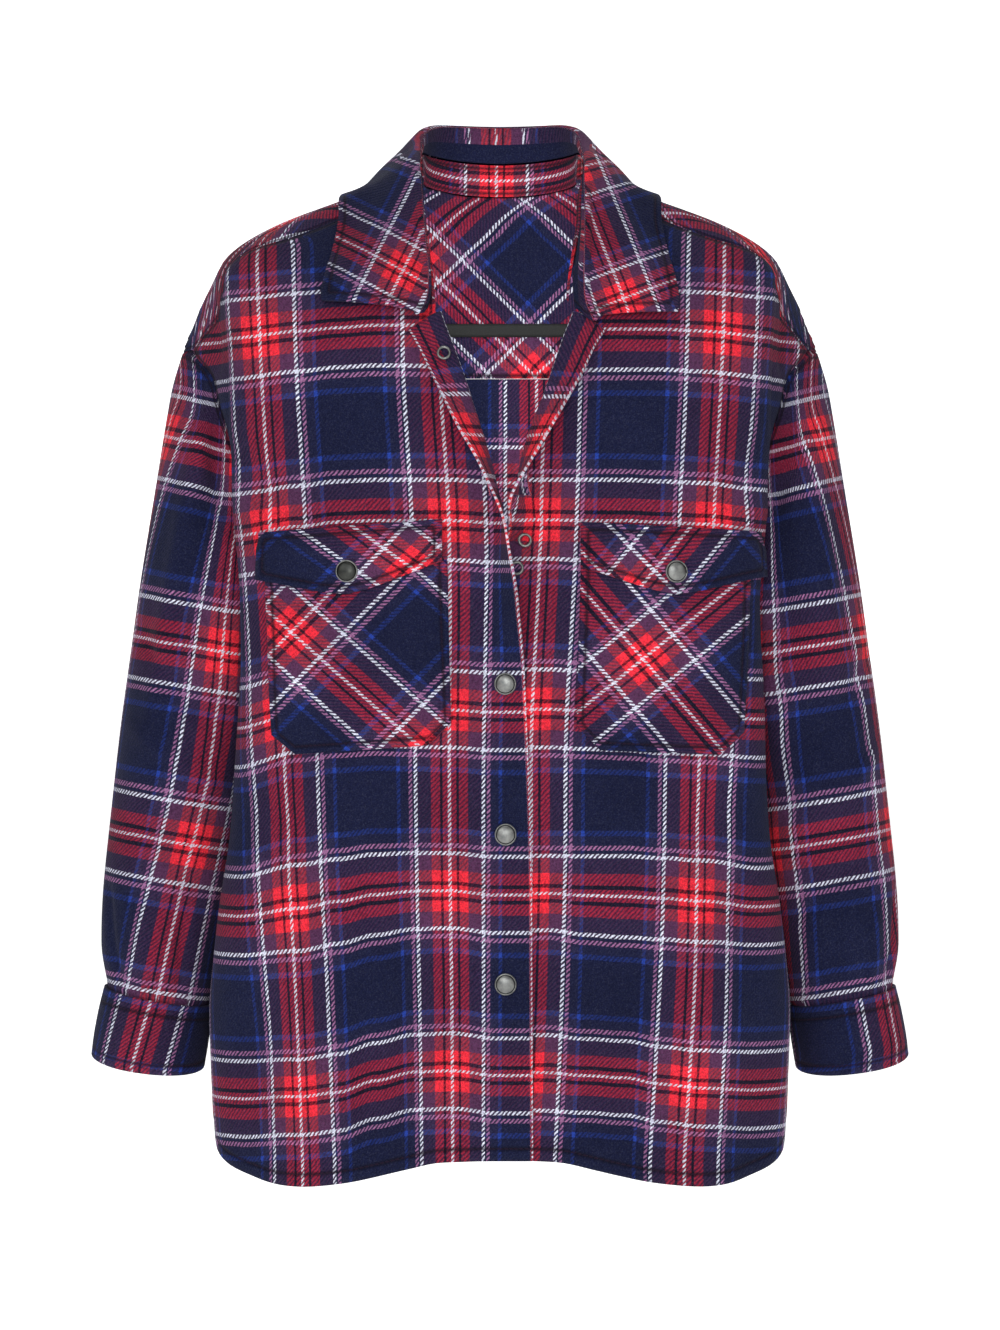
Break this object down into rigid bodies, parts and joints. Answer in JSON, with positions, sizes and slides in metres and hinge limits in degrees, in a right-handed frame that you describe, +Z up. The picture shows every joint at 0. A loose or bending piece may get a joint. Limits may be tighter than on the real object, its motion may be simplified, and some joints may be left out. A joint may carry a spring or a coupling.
{
  "type": "shirt jacket",
  "caption": "Oversized plaid flannel shirt jacket, filled out with no wearer: open spread collar, back yoke, drop shoulders, flap pockets, shirt-tail hem, front snaps.",
  "frame": {"origin": "middle of the neck opening, level with the shoulder seams at the neck", "axes": "+Z up along the body, the front faces -Y, and the wearer's left is +X"},
  "size_m": [0.6076, 0.2574, 0.7825],
  "materials": {
    "flannel": "brushed cotton flannel in a twill weave, red, navy, white, pink and blue check",
    "tape": "plain black woven tape",
    "gunmetal": "satin gunmetal-plated brass"
  },
  "bodies": {
    "root": {"front_right": "flannel", "front_left": "flannel", "back": "flannel", "yoke": "flannel", "sleeve_right": "flannel", "sleeve_left": "flannel", "cuff_right": "flannel", "cuff_left": "flannel", "collar_stand": "flannel", "collar_leaf": "flannel", "pocket_right": "flannel", "pocket_left": "flannel", "flap_right": "flannel", "flap_left": "flannel", "yoke_tape": "tape", "snap_placket_1": "gunmetal", "snap_placket_2": "gunmetal", "snap_placket_3": "gunmetal", "snap_flap_right": "gunmetal", "snap_flap_left": "gunmetal", "ring_band_right": "gunmetal", "ring_left_1": "gunmetal", "ring_left_2": "gunmetal"}
  },
  "joints": []
}
